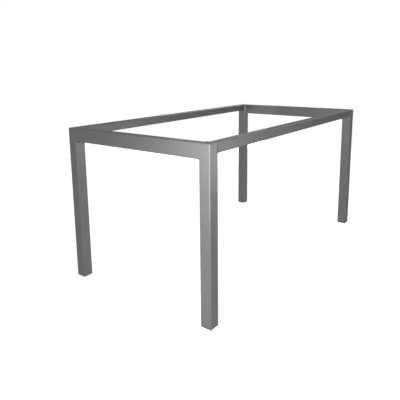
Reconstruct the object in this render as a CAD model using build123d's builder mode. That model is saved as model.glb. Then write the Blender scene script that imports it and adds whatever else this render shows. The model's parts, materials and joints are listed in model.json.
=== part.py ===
from build123d import *
import os

# Desk frame of square and rectangular steel tube, without its top.
# Two welded end frames, each of two legs and an end rail, are joined by two long rails.
# Each end of a long rail slides over a spigot on the leg and is held by a screw from below.
# X runs along the length, Y across and Z up. The origin is on the floor, under the middle.
# Corner pieces are modelled at the front left and mirrored to the other corners.

# Whole frame
frame_length = 1500.0
frame_width = 800.0
frame_height = 720.0

# Tubes
leg_side = 50.0
leg_wall = 2.0
end_rail_height = 60.0
end_rail_depth = 40.0
end_rail_wall = 2.0
long_rail_height = 40.0
long_rail_depth = 40.0
long_rail_wall = 2.0
tube_radius = 4.0
bore_chamfer = 1.2
long_rail_bore_radius = 2.0

# Steel cap on top of each leg, with a straight rim under its rounded edge
cap_rim = 2.0

# Fillet weld round the lower and inner side of each end rail's end
weld_size = 5.0

# Plastic insert in the foot of each leg
foot_height = 6.0
foot_chamfer = 1.0
foot_recess = 1.5
foot_recess_margin = 9.0
plug_length = 24.0
plug_gap = 1.2
plug_wall = 2.5
plug_chamfer = 2.0
rib_count = 2
rib_height = 1.2
rib_gap = 0.1

# Spigot on each leg for the end of a long rail
spigot_length = 90.0
spigot_wall = 2.5
spigot_gap = 0.3
spigot_radius = 2.5

# Button-head screw and weld nut that hold each end of a long rail on its spigot
screw_radius = 4.0
screw_length = 16.0
screw_hole_radius = 4.3
head_radius = 7.0
head_height = 4.4
head_flat_radius = 4.0
socket_width = 5.0
socket_depth = 2.6
nut_width = 13.0
nut_height = 6.5
thread_gap = 0.05
screw_inset = 55.0

# Holes in the long rails for the table top's screws, each with a wider one below for the driver
top_hole_radius = 3.25
driver_hole_radius = 7.0
top_hole_spacing = 500.0

# Places and sizes that follow
left = -frame_length / 2
front = -frame_width / 2
leg_x = left + leg_side / 2
leg_y = front + leg_side / 2
leg_inner_x = left + leg_side
leg_inner_y = front + leg_side
leg_bore = leg_side - 2 * leg_wall
cap_height = tube_radius + cap_rim
cap_seat = frame_height - cap_height
end_rail_x = left + end_rail_depth / 2
end_rail_z = frame_height - end_rail_height / 2
end_rail_bottom = frame_height - end_rail_height
long_rail_y = front + long_rail_depth / 2
long_rail_z = frame_height - long_rail_height / 2
long_rail_bottom = frame_height - long_rail_height
spigot_seat = long_rail_bottom + long_rail_wall
spigot_width = long_rail_depth - 2 * (long_rail_wall + spigot_gap)
spigot_height = long_rail_height - 2 * (long_rail_wall + spigot_gap)
nut_seat = spigot_seat + spigot_wall
screw_x = leg_inner_x + screw_inset
rail_screws = [(screw_x, long_rail_y), (-screw_x, long_rail_y)]
top_holes = [(x, long_rail_y) for x in (-top_hole_spacing, 0.0, top_hole_spacing)]

os.makedirs("parts", exist_ok=True)


def save(piece, name):
    """Labels one finished piece and writes it."""
    piece.label = name
    export_step(piece, f"parts/{name}.step")


def save_corners(piece, name):
    """Writes the front left piece and its mirror images at the other three corners."""
    right_piece = mirror(piece, about=Plane.YZ)
    save(piece, f"{name}_front_left")
    save(right_piece, f"{name}_front_right")
    save(mirror(piece, about=Plane.XZ), f"{name}_back_left")
    save(mirror(right_piece, about=Plane.XZ), f"{name}_back_right")


# Leg, a square tube from the foot's flange to the cap
with BuildPart() as leg:
    with BuildSketch(Plane((leg_x, leg_y, foot_height))):
        RectangleRounded(leg_side, leg_side, tube_radius)
    extrude(amount=cap_seat - foot_height)
    with BuildSketch(Plane((leg_x, leg_y, foot_height))) as bore:
        Rectangle(leg_bore, leg_bore)
        chamfer(bore.vertices(), bore_chamfer)
    extrude(amount=cap_seat - foot_height, mode=Mode.SUBTRACT)
save_corners(leg.part, "leg")

# Leg cap, rounded at its two outer sides and square where the rails run on from it
with BuildPart() as leg_cap:
    with BuildSketch(Plane((leg_x, leg_y, cap_seat))):
        Rectangle(leg_side, leg_side)
    extrude(amount=cap_height)
    uprights = leg_cap.edges().filter_by(Axis.Z)
    rim = leg_cap.faces().sort_by(Axis.Z)[-1].edges()
    outer_edges = [
        uprights.sort_by_distance((left, front, cap_seat))[0],
        rim.sort_by(Axis.X)[0],
        rim.sort_by(Axis.Y)[0],
    ]
    fillet(outer_edges, tube_radius)
    fillet(leg_cap.edges().filter_by(Axis.Z).sort_by_distance((0, 0, cap_seat))[0], tube_radius)
save_corners(leg_cap.part, "leg_cap")

# Foot, a flange as wide as the leg and a hollow plug with thin ribs on its sides that grip the bore
with BuildPart() as foot:
    with BuildSketch(Plane((leg_x, leg_y, 0))):
        RectangleRounded(leg_side, leg_side, tube_radius)
    extrude(amount=foot_height)
    chamfer(foot.faces().sort_by(Axis.Z)[0].edges(), foot_chamfer)
    with BuildSketch(Plane((leg_x, leg_y, 0))):
        recess_side = leg_side - 2 * foot_recess_margin
        Rectangle(recess_side, recess_side)
    extrude(amount=foot_recess, mode=Mode.SUBTRACT)
    plug_side = leg_bore - 2 * plug_gap
    with BuildSketch(Plane((leg_x, leg_y, foot_height))):
        Rectangle(plug_side, plug_side)
        Rectangle(plug_side - 2 * plug_wall, plug_side - 2 * plug_wall, mode=Mode.SUBTRACT)
    extrude(amount=plug_length)
    plug_top = foot_height + plug_length
    plug_uprights = foot.edges().filter_by(Axis.Z).filter_by_position(Axis.Z, foot_height, plug_top)
    chamfer(plug_uprights.sort_by_distance((leg_x, leg_y, plug_top / 2))[-4:], plug_chamfer)
    rib_span = leg_bore - 2 * rib_gap
    rib_width = plug_side - 2 * plug_chamfer
    rib_pitch = plug_length / rib_count
    for i in range(rib_count):
        with BuildSketch(Plane((leg_x, leg_y, foot_height + (i + 0.5) * rib_pitch))):
            Rectangle(rib_span, rib_width)
            Rectangle(rib_width, rib_span)
            Rectangle(plug_side - plug_wall, plug_side - plug_wall, mode=Mode.SUBTRACT)
        extrude(amount=rib_height)
save_corners(foot.part, "foot")

# End rail, an upright tube between the two legs of an end, flush outside and on top
with BuildPart() as end_rail:
    with BuildSketch(Plane((end_rail_x, leg_inner_y, end_rail_z), x_dir=(1, 0, 0), z_dir=(0, 1, 0))):
        RectangleRounded(end_rail_depth, end_rail_height, tube_radius)
    extrude(amount=frame_width - 2 * leg_side)
    with BuildSketch(
        Plane((end_rail_x, leg_inner_y, end_rail_z), x_dir=(1, 0, 0), z_dir=(0, 1, 0))
    ) as bore:
        Rectangle(end_rail_depth - 2 * end_rail_wall, end_rail_height - 2 * end_rail_wall)
        chamfer(bore.vertices(), bore_chamfer)
    extrude(amount=frame_width - 2 * leg_side, mode=Mode.SUBTRACT)
save(end_rail.part, "end_rail_left")
save(mirror(end_rail.part, about=Plane.YZ), "end_rail_right")

# Weld of an end rail to a leg: a fillet bead round its lower and inner side, and on the
# outside the metal that fills the leg's rounded corner flush with the rail
with BuildPart() as end_weld:
    with BuildSketch(Plane((end_rail_x, leg_inner_y, end_rail_z), x_dir=(1, 0, 0), z_dir=(0, 1, 0))):
        RectangleRounded(
            end_rail_depth + 2 * weld_size,
            end_rail_height + 2 * weld_size,
            tube_radius + weld_size,
        )
    extrude(amount=weld_size, taper=45)
    with BuildSketch(Plane((end_rail_x, leg_inner_y, end_rail_z), x_dir=(1, 0, 0), z_dir=(0, 1, 0))):
        RectangleRounded(end_rail_depth, end_rail_height, tube_radius)
    extrude(amount=weld_size, mode=Mode.SUBTRACT)
    with BuildSketch(Plane.XY.offset(end_rail_bottom - weld_size)):
        with Locations((left + tube_radius, leg_inner_y)):
            Rectangle(end_rail_depth - tube_radius + weld_size, weld_size, align=(Align.MIN, Align.MIN))
    extrude(amount=end_rail_height + weld_size - tube_radius, mode=Mode.INTERSECT)
    with BuildSketch(Plane.XY.offset(end_rail_bottom + tube_radius)):
        with Locations((left, leg_inner_y)):
            Rectangle(tube_radius, tube_radius, align=(Align.MIN, Align.MAX))
        with Locations((left + tube_radius, leg_inner_y - tube_radius)):
            Circle(tube_radius, mode=Mode.SUBTRACT)
    extrude(amount=cap_seat - end_rail_bottom - tube_radius)
save_corners(end_weld.part, "end_weld")

# Spigot, a smaller tube on the leg's inner face that stands on the long rail's lower wall
with BuildPart() as spigot:
    with BuildSketch(
        Plane((leg_inner_x, long_rail_y, spigot_seat + spigot_height / 2), x_dir=(0, 1, 0), z_dir=(1, 0, 0))
    ):
        RectangleRounded(spigot_width, spigot_height, spigot_radius)
        Rectangle(spigot_width - 2 * spigot_wall, spigot_height - 2 * spigot_wall, mode=Mode.SUBTRACT)
    extrude(amount=spigot_length)
    with BuildSketch(Plane.XY.offset(spigot_seat)):
        with Locations(rail_screws[0]):
            Circle(screw_hole_radius)
    extrude(amount=spigot_wall, mode=Mode.SUBTRACT)
save_corners(spigot.part, "spigot")

# Long rail, a square tube between the end frames, flush outside and on top
with BuildPart() as long_rail:
    with BuildSketch(Plane((leg_inner_x, long_rail_y, long_rail_z), x_dir=(0, 1, 0), z_dir=(1, 0, 0))):
        RectangleRounded(long_rail_depth, long_rail_height, tube_radius)
        RectangleRounded(
            long_rail_depth - 2 * long_rail_wall,
            long_rail_height - 2 * long_rail_wall,
            long_rail_bore_radius,
            mode=Mode.SUBTRACT,
        )
    extrude(amount=frame_length - 2 * leg_side)
    with BuildSketch(Plane.XY.offset(frame_height)):
        with Locations(top_holes):
            Circle(top_hole_radius)
    extrude(amount=-long_rail_wall, mode=Mode.SUBTRACT)
    with BuildSketch(Plane.XY.offset(long_rail_bottom)):
        with Locations(top_holes):
            Circle(driver_hole_radius)
        with Locations(rail_screws):
            Circle(screw_hole_radius)
    extrude(amount=long_rail_wall, mode=Mode.SUBTRACT)
save(long_rail.part, "long_rail_front")
save(mirror(long_rail.part, about=Plane.XZ), "long_rail_back")

# Button-head screws with hexagon sockets, driven up into the nuts at both ends of a long rail
with BuildPart() as screws:
    for x, y in rail_screws:
        with BuildSketch(Plane((x, y, long_rail_bottom), x_dir=(1, 0, 0), z_dir=(0, -1, 0))):
            with BuildLine():
                Polyline(
                    (0, -head_height),
                    (0, screw_length),
                    (screw_radius, screw_length),
                    (screw_radius, 0),
                    (head_radius, 0),
                    (head_flat_radius, -head_height),
                    close=True,
                )
            make_face()
        revolve(axis=Axis((x, y, 0), (0, 0, 1)))
        with BuildSketch(Plane((x, y, long_rail_bottom - head_height))):
            RegularPolygon(socket_width / 2, 6, major_radius=False)
        extrude(amount=socket_depth, mode=Mode.SUBTRACT)
save(screws.part, "rail_screws_front")
save(mirror(screws.part, about=Plane.XZ), "rail_screws_back")

# Hexagon weld nuts on the lower walls of the two spigots in a long rail
with BuildPart() as nuts:
    with BuildSketch(Plane.XY.offset(nut_seat)):
        with Locations(rail_screws):
            RegularPolygon(nut_width / 2, 6, major_radius=False)
            Circle(screw_radius + thread_gap, mode=Mode.SUBTRACT)
    extrude(amount=nut_height)
save(nuts.part, "rail_nuts_front")
save(mirror(nuts.part, about=Plane.XZ), "rail_nuts_back")
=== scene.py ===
"""Looks of the desk frame: satin metallic paint, weld beads, screws and foot plastic, on a pale floor.

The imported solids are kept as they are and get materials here. Every length is in metres.
"""
import json
import math

import bmesh
import bpy
from mathutils import Matrix, Vector


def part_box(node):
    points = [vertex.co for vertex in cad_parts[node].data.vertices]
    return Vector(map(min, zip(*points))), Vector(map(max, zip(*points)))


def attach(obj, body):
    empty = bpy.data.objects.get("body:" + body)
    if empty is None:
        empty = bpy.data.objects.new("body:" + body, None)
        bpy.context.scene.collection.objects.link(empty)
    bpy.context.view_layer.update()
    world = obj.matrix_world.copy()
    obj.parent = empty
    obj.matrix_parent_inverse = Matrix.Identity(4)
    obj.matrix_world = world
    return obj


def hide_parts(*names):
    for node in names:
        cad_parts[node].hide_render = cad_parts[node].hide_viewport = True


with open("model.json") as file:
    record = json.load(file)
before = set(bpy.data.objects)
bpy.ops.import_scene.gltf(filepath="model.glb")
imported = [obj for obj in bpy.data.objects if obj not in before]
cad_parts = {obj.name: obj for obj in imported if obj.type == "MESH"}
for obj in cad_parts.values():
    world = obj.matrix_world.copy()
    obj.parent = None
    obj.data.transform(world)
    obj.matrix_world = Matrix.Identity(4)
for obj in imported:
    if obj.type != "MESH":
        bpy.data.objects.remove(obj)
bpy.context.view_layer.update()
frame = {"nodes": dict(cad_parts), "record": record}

MM = 0.001
SMOOTH_BELOW = 40.0
SIDES = {"front": -1, "back": 1}
ENDS = {"left": -1, "right": 1}

# Weld bead: how far it stands over the flat fillet, its ripples and their curve across the bead, how
# round its section is, how far its toes reach past the fillet and how deep they are sunk
BEAD_CROWN = 0.9 * MM
BEAD_RIPPLE = 0.45 * MM
BEAD_PITCH = 2.1 * MM
RIPPLE_BOW = 1.1 * MM
RIPPLE_SHARPNESS = 0.7
BEAD_ROUNDNESS = 0.7
BEAD_STEPS_PER_RIPPLE = 8
BEAD_PROFILE_STEPS = 14
BEAD_TOE = 0.5 * MM
BEAD_SUNK = 0.3 * MM
TUBE_RADIUS = 4.0 * MM

# The welder's uneven hand, as waves of the bead's width: amount, length and phase
BEAD_SWAYS = ((0.25 * MM, 9.0 * MM, 0.0), (0.15 * MM, 3.7 * MM, 1.0))

# How a bead fades out at its ends: the height it keeps there, and the run over which it grows
BEAD_END_KEPT = 0.6 * MM
BEAD_END_RUN = 2.5 * MM

# Button-head screw: head with its flat, rim and edges, hexagon socket with a chamfered mouth, and thread
HEAD_FLAT_RADIUS = 3.9 * MM
HEAD_FLAT_EDGE = 0.2 * MM
HEAD_RIM = 0.5 * MM
HEAD_SEAT_EDGE = 0.1 * MM
NECK_FILLET = 0.25 * MM
SOCKET_WIDTH = 5.0 * MM
SOCKET_DEPTH = 2.6 * MM
SOCKET_FLOOR_WIDTH = 2.0 * MM
SOCKET_FLOOR_SINK = 0.5 * MM
SOCKET_MOUTH = 0.35 * MM
SOCKET_MOUTH_RADIUS = 3.125 * MM
THREAD_RADIUS = 4.0 * MM
THREAD_DEPTH = 0.68 * MM
THREAD_PITCH = 1.25 * MM
THREAD_START = 1.0 * MM
THREAD_CHAMFER = 0.8 * MM
FLANK_SLOPE = 1.25
CREST_FLAT = 0.12
RING_POINTS = 48
ROWS_PER_PITCH = 8
DOME_STEPS = 8

# Paint: its frame grey and the long rails' grey, darkened as painted shade, and how far the flakes and
# clouds vary them, the fineness and share of each, the gloss, and the orange peel with its fineness and
# shallow bumps. Each fineness is a count per metre
FRAME_GREY = (0.21, 0.21, 0.21)
# Darker than the frame grey only as painted shade, so the long rails' faces read darker beside the legs
RAIL_PAINTED_SHADE_GREY = (0.19, 0.19, 0.19)
PAINT_CONTRAST = 0.10
FLAKE_FINENESS = 1400.0
FLAKE_SHARE = 0.35
CLOUD_FINENESS = 9.0
CLOUD_SHARES = (0.1, 0.55)
PAINT_ROUGHNESS = (0.26, 0.36)
PAINT_METALLIC = 0.5
PAINT_EDGE_TINT = (0.5, 0.5, 0.5, 1.0)
PEEL_FINENESS = 520.0
PEEL_STRENGTH = 0.18
PEEL_DEPTH = 0.25 * MM

# Foot plastic: its darker and lighter grey in soft clouds, its roughness and its grain
FOOT_GREYS = ((0.125, 0.125, 0.127), (0.165, 0.165, 0.168))
FOOT_CLOUD_FINENESS = 40.0
FOOT_ROUGHNESS = (0.5, 0.7)
GRAIN_FINENESS = 900.0
GRAIN_STRENGTH = 0.3
GRAIN_DEPTH = 0.2 * MM

# Steel: the dark and light of its streaks with its mean roughness, for the bare and the zinc-plated one,
# the fineness of the streaks and how far they vary the roughness
BARE_STEEL = ((0.35, 0.35, 0.36), (0.48, 0.48, 0.49), 0.45)
ZINC_STEEL = ((0.52, 0.53, 0.54), (0.66, 0.67, 0.68), 0.35)
STREAK_FINENESS = 260.0
STREAK_ROUGHNESS = 0.06

# The photograph's camera: place, heading from +X towards +Y, tilt below the horizon, roll, lens and the
# downward shift that keeps the legs as nearly upright as they are in the photograph
CAMERA_PLACE = (-1.989, -1.302, 0.987)
CAMERA_HEADING = 37.35
CAMERA_TILT = 10.61
CAMERA_ROLL = -0.63
CAMERA_LENS = 39.99
CAMERA_SHIFT = -0.125
SENSOR_WIDTH = 36.0
FARTHEST_SEEN = 200.0

# Light: what diffuse surfaces get from the even sky, and what the camera and reflections see of it
SKY_LEVEL = 0.06
BACKDROP_LEVEL = 1.0

# Soft square lamps, each with its place, aim, width and power in watts. The corner lamps light the near
# corner, the low ones the near legs, the panels the broad faces and edges, and the inner one the far
# corner between the rails
LAMPS = {
    "corner_close": ((-0.86, -0.56, 0.68), (-0.74, -0.39, 0.67), 0.08, 0.20),
    "corner_left": ((-1.15, -0.55, 0.85), (-0.72, -0.58, 0.62), 0.2, 3.9),
    "corner_right": ((-0.60, -0.72, 0.76), (-0.725, -0.40, 0.66), 0.12, 0.24),
    "low_left": ((-1.35, -0.50, 0.40), (-0.75, -0.60, 0.40), 0.4, 3.3),
    "low_right": ((0.47, -1.25, 0.33), (-0.6, -0.4, 0.66), 0.3, 0.50),
    "rail_panel": ((0.90, -1.15, 0.47), (-0.3, -0.4, 0.68), 0.5, 0.60),
    "left_panel": ((-3.2, 1.0, 0.6), (-0.75, -0.1, 0.5), 1.2, 5.2),
    "end_panel": ((2.2, -1.2, 1.5), (0.0, -0.4, 0.7), 0.8, 3.5),
    "edge_panel": ((2.1, -0.3, 2.0), (0.0, 0.0, 0.7), 1.2, 11.0),
    "inner_corner": ((0.57, 0.19, 0.77), (0.70, 0.38, 0.67), 0.1, 0.14),
    "far_side_panel": ((2.8, 2.1, 0.30), (0.2, 0.1, 0.40), 1.4, 50.0),
}

# Floor: what it adds to camera rays, and the grey of its own diffuse surface that holds the shadow
FLOOR_SIZE = 80.0
FLOOR_GLOW = 0.97
FLOOR_GREY = 0.50


def new_material(name):
    """A new node material, with its tree and its shader."""
    material = bpy.data.materials.new(name)
    material.use_nodes = True
    tree = material.node_tree
    shader = tree.nodes["Principled BSDF"]
    return material, tree, shader


def add(tree, kind, **values):
    """Adds a node and sets the named properties or inputs on it."""
    node = tree.nodes.new(kind)
    for key, value in values.items():
        if hasattr(node, key):
            setattr(node, key, value)
        else:
            node.inputs[key.replace("_", " ")].default_value = value
    return node


def object_coordinates(tree):
    """The object's own coordinates in metres, the same from every view."""
    return tree.nodes.new("ShaderNodeTexCoord").outputs["Object"]


def tone(tree, factor, low, high):
    """Maps a texture's 0 to 1 onto a range of values."""
    node = add(tree, "ShaderNodeMapRange")
    tree.links.new(factor, node.inputs["Value"])
    node.inputs["To Min"].default_value = low
    node.inputs["To Max"].default_value = high
    return node.outputs["Result"]


def grey_mix(tree, factor, dark, light):
    """Mixes two colours by a factor."""
    node = tree.nodes.new("ShaderNodeMix")
    node.data_type = "RGBA"
    node.inputs["A"].default_value = (*dark, 1.0)
    node.inputs["B"].default_value = (*light, 1.0)
    tree.links.new(factor, node.inputs["Factor"])
    return node.outputs["Result"]


def paint(name, colour):
    """Satin metallic powder coat: fine orange peel, small bright flakes and a slight cloudiness."""
    material, tree, shader = new_material(name)
    place = object_coordinates(tree)
    flakes = add(tree, "ShaderNodeTexVoronoi", Scale=FLAKE_FINENESS)
    clouds = add(tree, "ShaderNodeTexNoise", Scale=CLOUD_FINENESS, Detail=4.0, Roughness=0.6)
    peel = add(tree, "ShaderNodeTexNoise", Scale=PEEL_FINENESS, Detail=3.0, Roughness=0.55)
    for texture in (flakes, clouds, peel):
        tree.links.new(place, texture.inputs["Vector"])
    mixed = tree.nodes.new("ShaderNodeMath")
    mixed.operation = "MULTIPLY_ADD"
    mixed.inputs[1].default_value = FLAKE_SHARE
    tree.links.new(flakes.outputs["Color"], mixed.inputs[0])
    tree.links.new(tone(tree, clouds.outputs["Fac"], *CLOUD_SHARES), mixed.inputs[2])
    dark = [c * (1 - PAINT_CONTRAST) for c in colour]
    light = [c * (1 + PAINT_CONTRAST) for c in colour]
    tree.links.new(grey_mix(tree, mixed.outputs["Value"], dark, light), shader.inputs["Base Color"])
    tree.links.new(tone(tree, peel.outputs["Fac"], *PAINT_ROUGHNESS), shader.inputs["Roughness"])
    bump = add(tree, "ShaderNodeBump", Strength=PEEL_STRENGTH, Distance=PEEL_DEPTH)
    tree.links.new(peel.outputs["Fac"], bump.inputs["Height"])
    tree.links.new(bump.outputs["Normal"], shader.inputs["Normal"])
    shader.inputs["Metallic"].default_value = PAINT_METALLIC
    shader.inputs["Specular IOR Level"].default_value = 0.0
    shader.inputs["Specular Tint"].default_value = PAINT_EDGE_TINT
    return material


def foot_plastic():
    """Moulded grey plastic with a fine spark-eroded grain."""
    material, tree, shader = new_material("foot_plastic")
    place = object_coordinates(tree)
    grain = add(tree, "ShaderNodeTexNoise", Scale=GRAIN_FINENESS, Detail=2.0)
    clouds = add(tree, "ShaderNodeTexNoise", Scale=FOOT_CLOUD_FINENESS, Detail=3.0)
    for texture in (grain, clouds):
        tree.links.new(place, texture.inputs["Vector"])
    tree.links.new(grey_mix(tree, clouds.outputs["Fac"], *FOOT_GREYS), shader.inputs["Base Color"])
    tree.links.new(tone(tree, grain.outputs["Fac"], *FOOT_ROUGHNESS), shader.inputs["Roughness"])
    bump = add(tree, "ShaderNodeBump", Strength=GRAIN_STRENGTH, Distance=GRAIN_DEPTH)
    tree.links.new(grain.outputs["Fac"], bump.inputs["Height"])
    tree.links.new(bump.outputs["Normal"], shader.inputs["Normal"])
    return material


def plated_steel(name, dark, light, roughness):
    """Bare or zinc-plated steel with a faint streaky lustre."""
    material, tree, shader = new_material(name)
    place = object_coordinates(tree)
    streaks = add(tree, "ShaderNodeTexNoise", Scale=STREAK_FINENESS, Detail=4.0, Distortion=0.6)
    tree.links.new(place, streaks.inputs["Vector"])
    tree.links.new(grey_mix(tree, streaks.outputs["Fac"], dark, light), shader.inputs["Base Color"])
    lustre = tone(tree, streaks.outputs["Fac"], roughness - STREAK_ROUGHNESS, roughness + STREAK_ROUGHNESS)
    tree.links.new(lustre, shader.inputs["Roughness"])
    shader.inputs["Metallic"].default_value = 1.0
    return material


def dress(materials):
    """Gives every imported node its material, by the record's slot."""
    for entry in frame["record"]["subparts"]:
        for material_slot in frame["nodes"][entry["node"]].material_slots:
            material_slot.material = materials[entry["material_slot"]]


def new_object(name, mesh_data, material):
    """Turns a bmesh into a smooth closed piece that rides on the frame."""
    bmesh.ops.recalc_face_normals(mesh_data, faces=mesh_data.faces)
    mesh = bpy.data.meshes.new(name)
    mesh_data.to_mesh(mesh)
    mesh_data.free()
    mesh.materials.append(material)
    mesh.polygons.foreach_set("use_smooth", [True] * len(mesh.polygons))
    mesh.set_sharp_from_angle(angle=math.radians(SMOOTH_BELOW))
    piece = bpy.data.objects.new(name, mesh)
    bpy.context.scene.collection.objects.link(piece)
    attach(piece, "root")
    return piece


def skin(mesh_data, rings):
    """Joins a list of equal closed rings of points into a closed skin, with a fan at each end."""
    rows = [[mesh_data.verts.new(point) for point in ring] for ring in rings]
    count = len(rows[0])
    for lower, upper in zip(rows, rows[1:]):
        for i in range(count):
            j = (i + 1) % count
            mesh_data.faces.new((lower[i], lower[j], upper[j], upper[i]))
    for row in (rows[0], rows[-1]):
        centre = mesh_data.verts.new(sum((v.co for v in row), Vector()) / count)
        for i in range(count):
            mesh_data.faces.new((row[i], row[(i + 1) % count], centre))


def bead_path(rail_low, rail_high):
    """Steps along a weld: each the place on the rail's skin and the outward direction there, as x and z.

    The bead runs along the rail's lower side from its outer edge, round the corner and up its inner side.
    """
    step = BEAD_PITCH / BEAD_STEPS_PER_RIPPLE
    corner = Vector((rail_high.x - TUBE_RADIUS, rail_low.z + TUBE_RADIUS))
    start = Vector((rail_low.x + TUBE_RADIUS, rail_low.z))
    under = corner.x - start.x
    turn = TUBE_RADIUS * math.pi / 2
    up = rail_high.z - TUBE_RADIUS - corner.y
    total = under + turn + up
    steps = round(total / step)
    for i in range(steps + 1):
        run = total * i / steps
        if run < under:
            yield run, total, Vector((start.x + run, start.y)), Vector((0.0, -1.0))
        elif run < under + turn:
            angle = (run - under) / TUBE_RADIUS
            out = Vector((math.sin(angle), -math.cos(angle)))
            yield run, total, corner + out * TUBE_RADIUS, out
        else:
            yield run, total, Vector((rail_high.x, corner.y + run - under - turn)), Vector((1.0, 0.0))


def bead_ring(run, total, place, out, leg_y, size):
    """One slice of a bead: its rippled crown between two toes, and the point sunk behind them."""
    sway = sum(amount * math.sin(run / length + phase) for amount, length, phase in BEAD_SWAYS)
    reach = size + BEAD_TOE + sway
    end_fade = min(1.0, (min(run, total - run) + BEAD_END_KEPT) / BEAD_END_RUN)
    ring = []
    for i in range(BEAD_PROFILE_STEPS + 1):
        share = i / BEAD_PROFILE_STEPS
        arch = math.sin(math.pi * share)
        turn = math.pi * (run + RIPPLE_BOW * arch) / BEAD_PITCH
        ripple = abs(math.cos(turn)) ** RIPPLE_SHARPNESS
        height = arch ** BEAD_ROUNDNESS * end_fade * (BEAD_CROWN - BEAD_RIPPLE * (1.0 - ripple))
        rise = height * math.sqrt(0.5)
        off = reach * share + rise - BEAD_SUNK * (1.0 - share)
        along = reach * (1.0 - share) + rise - BEAD_SUNK * share
        ring.append((place.x + out.x * off, leg_y + along, place.y + out.y * off))
    ring.append((place.x - out.x * BEAD_SUNK, leg_y - BEAD_SUNK, place.y - out.y * BEAD_SUNK))
    return ring


def make_weld_beads(material):
    """The rippled bead over each flat fillet between an end rail and a leg."""
    rail_low, rail_high = (Vector(corner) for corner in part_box("end_rail_left"))
    weld_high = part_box("end_weld_front_left")[1]
    size = weld_high[1] - rail_low.y
    rings = [bead_ring(*step, rail_low.y, size) for step in bead_path(rail_low, rail_high)]
    for side, across in SIDES.items():
        for end, along in ENDS.items():
            mesh_data = bmesh.new()
            skin(mesh_data, [[(-along * x, -across * y, z) for x, y, z in ring] for ring in rings])
            new_object(f"weld_bead_{side}_{end}", mesh_data, material)


def circle(radius, height):
    """A ring of points about the Z axis."""
    angles = [2 * math.pi * i / RING_POINTS for i in range(RING_POINTS)]
    return [(radius * math.cos(a), radius * math.sin(a), height) for a in angles]


def hexagon(width, height):
    """A ring of points along a hexagon of a given width across its flats."""
    ring = []
    for i in range(RING_POINTS):
        angle = 2 * math.pi * i / RING_POINTS
        from_flat = (angle + math.pi / 6) % (math.pi / 3) - math.pi / 6
        radius = width / 2 / math.cos(from_flat)
        ring.append((radius * math.cos(angle), radius * math.sin(angle), height))
    return ring


def thread_ring(height, length):
    """A ring of points on the screw's thread, faded out towards its start and end."""
    ring = []
    fade = max(0.0, min(1.0, (height - THREAD_START) / THREAD_PITCH))
    chamfer = max(0.0, height - (length - THREAD_CHAMFER))
    for i in range(RING_POINTS):
        turn = i / RING_POINTS
        wave = abs(2 * ((height / THREAD_PITCH - turn) % 1.0) - 1.0)
        depth = THREAD_DEPTH * fade * min(1.0, max(0.0, FLANK_SLOPE * wave - CREST_FLAT))
        radius = min(THREAD_RADIUS - depth, THREAD_RADIUS - chamfer)
        angle = 2 * math.pi * turn
        ring.append((radius * math.cos(angle), radius * math.sin(angle), height))
    return ring


def screw_rings(head_radius, head_height, length):
    """Rings of a screw along Z, from its socket over the dome and down the thread; its seat is at zero."""
    rings = [
        hexagon(SOCKET_FLOOR_WIDTH, SOCKET_DEPTH + SOCKET_FLOOR_SINK - head_height),
        hexagon(SOCKET_WIDTH, SOCKET_DEPTH - head_height),
        hexagon(SOCKET_WIDTH, SOCKET_MOUTH - head_height),
        circle(SOCKET_MOUTH_RADIUS, -head_height),
        circle(HEAD_FLAT_RADIUS - HEAD_FLAT_EDGE, -head_height),
    ]
    for i in range(DOME_STEPS + 1):
        angle = math.pi / 2 * i / DOME_STEPS
        radius = HEAD_FLAT_RADIUS + (head_radius - HEAD_FLAT_RADIUS) * math.sin(angle)
        rings.append(circle(radius, -head_height + (head_height - HEAD_RIM) * (1 - math.cos(angle))))
    rings += [circle(head_radius, -HEAD_SEAT_EDGE), circle(head_radius - HEAD_SEAT_EDGE, 0.0)]
    rings += [circle(THREAD_RADIUS + NECK_FILLET, 0.0), circle(THREAD_RADIUS, NECK_FILLET)]
    rows = round((length - THREAD_START) / THREAD_PITCH * ROWS_PER_PITCH)
    for i in range(rows + 1):
        rings.append(thread_ring(THREAD_START + (length - THREAD_START) * i / rows, length))
    return rings


def make_rail_screws(material):
    """Detailed button-head screws in the places of the plain ones."""
    for side in SIDES:
        low, high = (Vector(corner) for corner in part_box(f"rail_screws_{side}"))
        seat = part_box(f"long_rail_{side}")[0][2]
        head_radius = (high.y - low.y) / 2
        rings = screw_rings(head_radius, seat - low.z, high.z - seat)
        mesh_data = bmesh.new()
        for x in (low.x + head_radius, high.x - head_radius):
            place = Vector((x, low.y + head_radius, seat))
            skin(mesh_data, [[Vector(point) + place for point in ring] for ring in rings])
        screws = new_object(f"button_head_screws_{side}", mesh_data, material)
        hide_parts(f"rail_screws_{side}")


def seen_level(tree, seen, other):
    """One level for what is seen, straight, mirrored or through glass, and another for all other light."""
    path = tree.nodes.new("ShaderNodeLightPath")
    total = path.outputs["Is Camera Ray"]
    for ray in ("Is Glossy Ray", "Is Transmission Ray"):
        join = tree.nodes.new("ShaderNodeMath")
        join.operation = "MAXIMUM"
        tree.links.new(total, join.inputs[0])
        tree.links.new(path.outputs[ray], join.inputs[1])
        total = join.outputs["Value"]
    return tone(tree, total, other, seen)


def make_floor():
    """A plain pale floor that glows white to the camera and still holds the object's shadow."""
    mesh = bpy.data.meshes.new("floor")
    half = FLOOR_SIZE / 2
    corners = [(-half, -half, 0), (half, -half, 0), (half, half, 0), (-half, half, 0)]
    mesh.from_pydata(corners, [], [(0, 1, 2, 3)])
    floor = bpy.data.objects.new("floor", mesh)
    bpy.context.scene.collection.objects.link(floor)
    material, tree, shader = new_material("floor")
    shader.inputs["Base Color"].default_value = (FLOOR_GREY, FLOOR_GREY, FLOOR_GREY, 1.0)
    shader.inputs["Roughness"].default_value = 1.0
    shader.inputs["Specular IOR Level"].default_value = 0.0
    shader.inputs["Emission Color"].default_value = (1.0, 1.0, 1.0, 1.0)
    tree.links.new(seen_level(tree, FLOOR_GLOW, 0.0), shader.inputs["Emission Strength"])
    mesh.materials.append(material)


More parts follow.
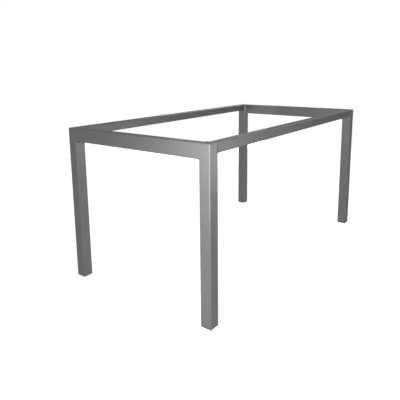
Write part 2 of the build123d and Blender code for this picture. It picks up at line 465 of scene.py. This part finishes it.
def make_world():
    """White to the camera, and an even sky for the object's light."""
    world = bpy.data.worlds.new("studio")
    world.use_nodes = True
    tree = world.node_tree
    background = tree.nodes["Background"]
    background.inputs["Color"].default_value = (1.0, 1.0, 1.0, 1.0)
    tree.links.new(seen_level(tree, BACKDROP_LEVEL, SKY_LEVEL), background.inputs["Strength"])
    bpy.context.scene.world = world


def make_lamps():
    """Soft square lamps turned towards the frame."""
    for name, (place, aim, size, power) in LAMPS.items():
        data = bpy.data.lights.new(name, "AREA")
        data.shape = "SQUARE"
        data.size = size
        data.energy = power
        lamp = bpy.data.objects.new(name, data)
        lamp.visible_camera = False
        lamp.location = place
        lamp.rotation_mode = "QUATERNION"
        lamp.rotation_quaternion = (Vector(aim) - Vector(place)).to_track_quat("-Z", "Y")
        bpy.context.scene.collection.objects.link(lamp)


def make_camera():
    """The photograph's viewpoint."""
    heading = math.radians(CAMERA_HEADING)
    tilt = math.radians(CAMERA_TILT)
    forward = Vector((
        math.cos(tilt) * math.cos(heading),
        math.cos(tilt) * math.sin(heading),
        -math.sin(tilt),
    ))
    data = bpy.data.cameras.new("camera")
    data.sensor_width = SENSOR_WIDTH
    data.lens = CAMERA_LENS
    data.shift_y = CAMERA_SHIFT
    data.clip_end = FARTHEST_SEEN
    camera = bpy.data.objects.new("camera", data)
    level = forward.to_track_quat("-Z", "Y").to_matrix()
    roll = Matrix.Rotation(math.radians(-CAMERA_ROLL), 3, forward)
    camera.matrix_world = Matrix.Translation(CAMERA_PLACE) @ (roll @ level).to_4x4()
    bpy.context.scene.collection.objects.link(camera)
    bpy.context.scene.camera = camera


materials = {
    "frame_paint": paint("frame_paint", FRAME_GREY),
    # The long rails' paint takes the darker grey, which is painted shade
    "rail_paint": paint("rail_paint", RAIL_PAINTED_SHADE_GREY),
    "foot_plastic": foot_plastic(),
    "bare_steel": plated_steel("bare_steel", *BARE_STEEL),
    "zinc_steel": plated_steel("zinc_steel", *ZINC_STEEL),
}
dress(materials)
make_weld_beads(materials["frame_paint"])
make_rail_screws(materials["zinc_steel"])
make_floor()
make_world()
make_lamps()
make_camera()
bpy.context.scene.view_settings.view_transform = "Standard"
